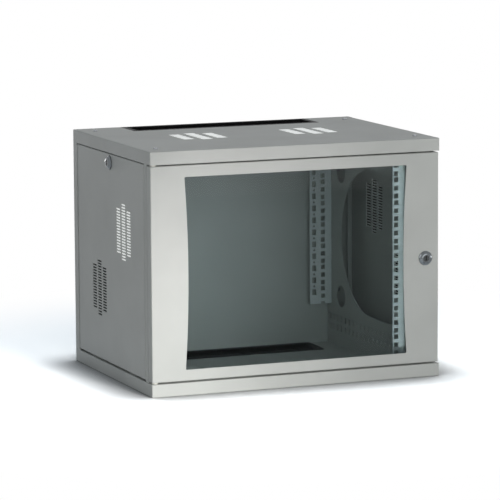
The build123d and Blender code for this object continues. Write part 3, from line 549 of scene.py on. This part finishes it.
def fleecePad(centre, halfSizes, thinAxis):
    # two faces of a pad: half thickness x (1 - |u|^p)(1 - |v|^p) above and below the middle, plus a loft of
    # crossed sine waves that stand for tufts; the rims of both faces are the same points
    look = fleeceLook
    axes = [axis for axis in range(3) if axis != thinAxis]
    counts = [max(look["leastSteps"], int(2000 * halfSizes[axis] / look["stepMm"])) for axis in axes]
    marks = [np.sin(np.linspace(-math.pi / 2, math.pi / 2, n + 1)) for n in counts]
    u, v = np.meshgrid(*marks, indexing="ij")
    rise = (1 - np.abs(u) ** look["edgePower"]) * (1 - np.abs(v) ** look["edgePower"])
    a, b = u * halfSizes[axes[0]], v * halfSizes[axes[1]]
    wave = look["tuftWaves"]
    tufts = np.sin(a * wave[0] + 2 * np.sin(b * wave[1])) * np.sin(b * wave[2] + 2 * np.sin(a * wave[3]))
    half = (halfSizes[thinAxis] - look["inset"] - look["loft"]) * rise + look["loft"] * tufts * rise
    sheets = []
    for side in (1, -1):
        points = np.zeros(u.shape + (3,))
        points[..., axes[0]] = a
        points[..., axes[1]] = b
        points[..., thinAxis] = side * half
        sheets.append((points + centre).reshape(-1, 3))
    faces = gridFaces(*u.shape, False, False)
    lower = (faces + len(sheets[0]))[:, ::-1]
    return np.concatenate(sheets), [tuple(face) for face in np.concatenate([faces, lower]).tolist()]


for name, spec in padSets.items():
    for index, (centre, halfSizes) in enumerate(spec["pads"]):
        points, faces = fleecePad(np.array(centre), halfSizes, spec["thinAxis"])
        piece = meshObject(f"{name}_fleece_{index}", points, faces, spec["slot"])
        recalculated(piece)
        if spec["node"]:
            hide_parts(spec["node"])
        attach(piece, spec["body"])


crownLook = {"gap": 0.00008, "root": 0.0024, "pitch": 0.0056, "slotWidth": 0.003, "rows": (16, 20, 16),
             "grid": (9, 7), "powers": (8, 4)}
crownSets = {
    "roof_filter_pads": {"body": "cabinet", "axes": (0, 1, 2), "outward": 1, "column": 0.035, "length": 0.027,
                         "proud": 0.0004, "at": [(x, 0.002, 0.470) for x in (-0.117, 0.117)]},
    "left_filter_pad": {"body": "left_panel", "axes": (1, 2, 0), "outward": -1, "column": 0.029,
                        "length": 0.023, "proud": 0.0, "at": [(-0.2993, -0.067, 0.2985)]},
}


def slotCrowns(spec, place):
    # the fleece swells out through the slots of a group: over each slot it stands root below the sheet's face
    # plus (root + proud) x sqrt((1 - s^p)(1 - t^q)), s along the slot and t across it, and is flat below
    look = crownLook
    marks = [np.sin(np.linspace(-math.pi / 2, math.pi / 2, n)) for n in look["grid"]]
    s, t = np.meshgrid(*marks, indexing="ij")
    along, across, outward = spec["axes"]
    swell = np.sqrt(np.maximum((1 - s ** look["powers"][0]) * (1 - t ** look["powers"][1]), 0))
    columns = np.repeat([-1, 0, 1], look["rows"]) * spec["column"]
    rows = np.concatenate([np.arange(n) - (n - 1) / 2 for n in look["rows"]]) * look["pitch"]
    points = np.zeros((2, len(rows)) + s.shape + (3,))
    points[..., along] = columns[:, None, None] + s * (spec["length"] / 2 - look["gap"])
    points[..., across] = rows[:, None, None] + t * (look["slotWidth"] / 2 - look["gap"])
    points[0, ..., outward] = spec["outward"] * ((look["root"] + spec["proud"]) * swell - look["root"])
    points[1, ..., outward] = -spec["outward"] * look["root"]
    one = gridFaces(*s.shape, False, False)
    faces = (one[None] + (np.arange(2 * len(rows)) * s.size)[:, None, None]).reshape(-1, 4)
    return points.reshape(-1, 3) + place, [tuple(face) for face in faces.tolist()]


for node, spec in crownSets.items():
    for index, place in enumerate(spec["at"]):
        piece = meshObject(f"{node}_crowns_{index}", *slotCrowns(spec, np.array(place)), "filter_fleece")
        recalculated(piece)
        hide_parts(node)
        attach(piece, spec["body"])
print("fleece made")


# the focal length is given in pixels of a frame of framePixels
cameraLook = {"place": (-2.4048, -6.0190, 1.1710), "yaw": 0.3787, "pitch": 0.1430, "roll": -0.006,
              "focalPixels": 3300.0, "framePixels": 500.0, "sensorMm": 36.0, "clipEnd": 100.0}


def makeCamera(look):
    # right, up and back axes from yaw, pitch and roll
    yaw, pitch, roll = look["yaw"], look["pitch"], look["roll"]
    forward = np.array([math.sin(yaw) * math.cos(pitch), math.cos(yaw) * math.cos(pitch), -math.sin(pitch)])
    right = np.array([math.cos(yaw), -math.sin(yaw), 0.0])
    up = np.cross(right, forward)
    rolledRight = right * math.cos(roll) + up * math.sin(roll)
    rolledUp = up * math.cos(roll) - right * math.sin(roll)
    data = bpy.data.cameras.new("photoCamera")
    data.sensor_width = look["sensorMm"]
    data.lens = look["focalPixels"] / look["framePixels"] * look["sensorMm"]
    data.clip_end = look["clipEnd"]
    camera = bpy.data.objects.new("photoCamera", data)
    scene.collection.objects.link(camera)
    turn = np.column_stack([rolledRight, rolledUp, -forward])
    place = np.array(look["place"])
    camera.matrix_world = Matrix([(*turn[i], place[i]) for i in range(3)] + [(0, 0, 0, 1)])
    scene.camera = camera


# cardX, cardY, cardZ and cardHex place the black card that paints shade into the far vents
stageLook = {"ambient": 0.232, "ambientHex": "dfe9f2", "floorHalf": 12.0, "floorHex": "dcdcdc",
             "floorGain": 5.0, "paintedShadeWidth": 0.10, "paintedShadeDepth": 2.8, "fadeStart": 0.50, "fadeEnd": 1.1,
             "cardX": 0.36, "cardY": (-0.25, 0.40), "cardZ": (0.01, 0.46), "cardHex": "060808"}


def seenDirectly(tree):
    # 1 for camera, glossy and transmitted rays, so that metal and glass show the background too; a ray that
    # has left paint on its way counts as light, so that the white doesn't shine into the cabinet through the
    # pane
    path = addNode(tree, "ShaderNodeLightPath")
    camera, glossy, passed = [path.outputs[f"Is {kind} Ray"] for kind in ("Camera", "Glossy", "Transmission")]
    first = addNode(tree, "ShaderNodeMath", {"operation": "MAXIMUM"}, {0: camera, 1: glossy})
    every = addNode(tree, "ShaderNodeMath", {"operation": "MAXIMUM"}, {0: first.outputs[0], 1: passed})
    clean = addNode(tree, "ShaderNodeMath", {
        "operation": "LESS_THAN", 1: 0.5}, {0: path.outputs["Diffuse Depth"]})
    both = addNode(tree, "ShaderNodeMath", {
        "operation": "MULTIPLY"}, {0: every.outputs[0], 1: clean.outputs[0]})
    return both.outputs[0]


def makeWorld(look):
    # soft daylight on the object, and white where the background is seen
    world = bpy.data.worlds.new("studioWorld")
    scene.world = world
    world.use_nodes = True
    tree = world.node_tree
    tree.nodes.clear()
    soft = addNode(tree, "ShaderNodeBackground", {
        "Color": linearColour(look["ambientHex"]), "Strength": look["ambient"]})
    white = addNode(tree, "ShaderNodeBackground", {"Color": (1, 1, 1, 1), "Strength": 1.0})
    mix = addNode(tree, "ShaderNodeMixShader", links={
        0: seenDirectly(tree), 1: soft.outputs[0], 2: white.outputs[0]})
    addNode(tree, "ShaderNodeOutputWorld", links={"Surface": mix.outputs[0]})


def flatSheet(name, corners, material):
    # one face between four corners
    mesh = bpy.data.meshes.new(name)
    mesh.from_pydata(corners, [], [(0, 1, 2, 3)])
    mesh.materials.append(material)
    sheet = bpy.data.objects.new(name, mesh)
    scene.collection.objects.link(sheet)
    return sheet


def makeFloor(look):
    # matt paint that counts for more where it is seen, so that it looks white but throws back little light;
    # a painted shade darkens it where the cabinet stands close over it, and it fades to plain white further out
    material, tree = emptyMaterial("paleStudioFloor")
    direct = seenDirectly(tree)
    paint = linearColour(look["floorHex"])
    lifted = [channel * look["floorGain"] for channel in paint[:3]]
    # painted shade: occlusion near the cabinet, raised to a power, darkens the floor's seen colour
    paintedShade = addNode(tree, "ShaderNodeAmbientOcclusion", {"Distance": look["paintedShadeWidth"]})
    deep = addNode(tree, "ShaderNodeMath", {
        "operation": "POWER", 1: look["paintedShadeDepth"]}, {0: paintedShade.outputs["AO"]})
    shaded = addNode(tree, "ShaderNodeVectorMath", {
        "operation": "SCALE", 0: lifted}, {"Scale": deep.outputs[0]})
    tone = addNode(tree, "ShaderNodeMix", {"data_type": "RGBA", 6: paint}, {0: direct, 7: shaded.outputs[0]})
    near = addNode(tree, "ShaderNodeBsdfDiffuse", links={"Color": tone.outputs[2]})
    far = addNode(tree, "ShaderNodeEmission", {"Color": (1, 1, 1, 1), "Strength": 1.0})
    coordinates = addNode(tree, "ShaderNodeTexCoord")
    away = addNode(tree, "ShaderNodeVectorMath", {"operation": "LENGTH"}, {0: coordinates.outputs["Object"]})
    fade = addNode(tree, "ShaderNodeMapRange", {
        "interpolation_type": "SMOOTHSTEP", "From Min": look["fadeStart"], "From Max": look["fadeEnd"]},
        {"Value": away.outputs["Value"]})
    share = addNode(tree, "ShaderNodeMath", {"operation": "MULTIPLY"}, {0: fade.outputs["Result"], 1: direct})
    mix = addNode(tree, "ShaderNodeMixShader", links={
        0: share.outputs[0], 1: near.outputs[0], 2: far.outputs[0]})
    addNode(tree, "ShaderNodeOutputMaterial", links={"Surface": mix.outputs[0]})
    half = look["floorHalf"]
    corners = [(-half, -half, 0), (half, -half, 0), (half, half, 0), (-half, half, 0)]
    floor = flatSheet("studioFloor", corners, material)


def makePaintedShadeCard(look):
    # painted shade: a black card stands beside the cabinet, seen only through the pane, and darkens the far
    # vents
    material, tree = emptyMaterial("paintedShadeCardPaper")
    black = addNode(tree, "ShaderNodeBsdfDiffuse", {"Color": linearColour(look["cardHex"])})
    addNode(tree, "ShaderNodeOutputMaterial", links={"Surface": black.outputs[0]})
    x, (front, back), (bottom, top) = look["cardX"], look["cardY"], look["cardZ"]
    corners = [(x, front, bottom), (x, back, bottom), (x, back, top), (x, front, top)]
    card = flatSheet("paintedShadeCard", corners, material)
    card.visible_camera = card.visible_diffuse = card.visible_glossy = card.visible_shadow = False


# soft boxes in front, at the right and behind, the last two low so that the roof stays in shade; a thin
# straight beam on the right front rail; a spot on the door's lower left corner and one through the pane on the
# back wall
lampSets = {
    "frontBox": {"place": (0.0, -2.8, 0.7), "target": (0.0, -0.2, 0.25), "size": (3.0, 1.4),
                 "spreadDegrees": 180.0, "watts": 35.0, "hexCode": "fffefc"},
    "rightBox": {"place": (3.2, 0.7, 0.23), "target": (0.3, 0.0, 0.23), "size": (2.0, 0.36),
                 "spreadDegrees": 180.0, "watts": 24.0, "hexCode": "fffefc"},
    "backBox": {"place": (0.5, 3.2, 0.23), "target": (0.0, 0.22, 0.23), "size": (2.4, 0.36),
                "spreadDegrees": 180.0, "watts": 26.0, "hexCode": "fffefc"},
    "railStrip": {"place": (-0.3366, -0.9862, 0.235), "target": (0.237, -0.167, 0.235),
                  "size": (0.012, 0.355), "spreadDegrees": 1.0, "watts": 0.078, "hexCode": "fffefc"},
    "cornerSpot": {"place": (0.1, -2.6, 0.45), "target": (-0.33, -0.22, -0.05), "coneDegrees": 20.0,
                   "radius": 0.25, "watts": 168.0, "hexCode": "fffefc"},
    "wallSpot": {"place": (-0.05, -3.0, 0.12), "target": (-0.13, 0.2255, 0.28), "coneDegrees": 5.8,
                 "radius": 0.25, "watts": 430.0, "hexCode": "fff6f8"},
}


def makeLamp(name, look):
    # a lamp with a cone is a spot, brightest at its target and soft to its edge; any other is a soft box that
    # faces its target, and a small spread makes a straight beam of it, as a grid does
    if "coneDegrees" in look:
        data = bpy.data.lights.new(name, "SPOT")
        data.spot_size = math.radians(look["coneDegrees"])
        data.spot_blend = 1.0
        data.shadow_soft_size = look["radius"]
    else:
        data = bpy.data.lights.new(name, "AREA")
        data.shape = "RECTANGLE"
        data.spread = math.radians(look["spreadDegrees"])
        data.size, data.size_y = look["size"]
    data.energy = look["watts"]
    data.color = linearColour(look["hexCode"])[:3]
    lamp = bpy.data.objects.new(name, data)
    scene.collection.objects.link(lamp)
    lamp.location = look["place"]
    aim = Vector(look["target"]) - Vector(look["place"])
    lamp.rotation_euler = aim.to_track_quat("-Z", "Y").to_euler()
    lamp.visible_camera = data.type == "SPOT"


makeCamera(cameraLook)
makeWorld(stageLook)
makeFloor(stageLook)
makePaintedShadeCard(stageLook)
for name, look in lampSets.items():
    makeLamp(name, look)
scene.view_settings.view_transform = "Standard"
print("stage made")
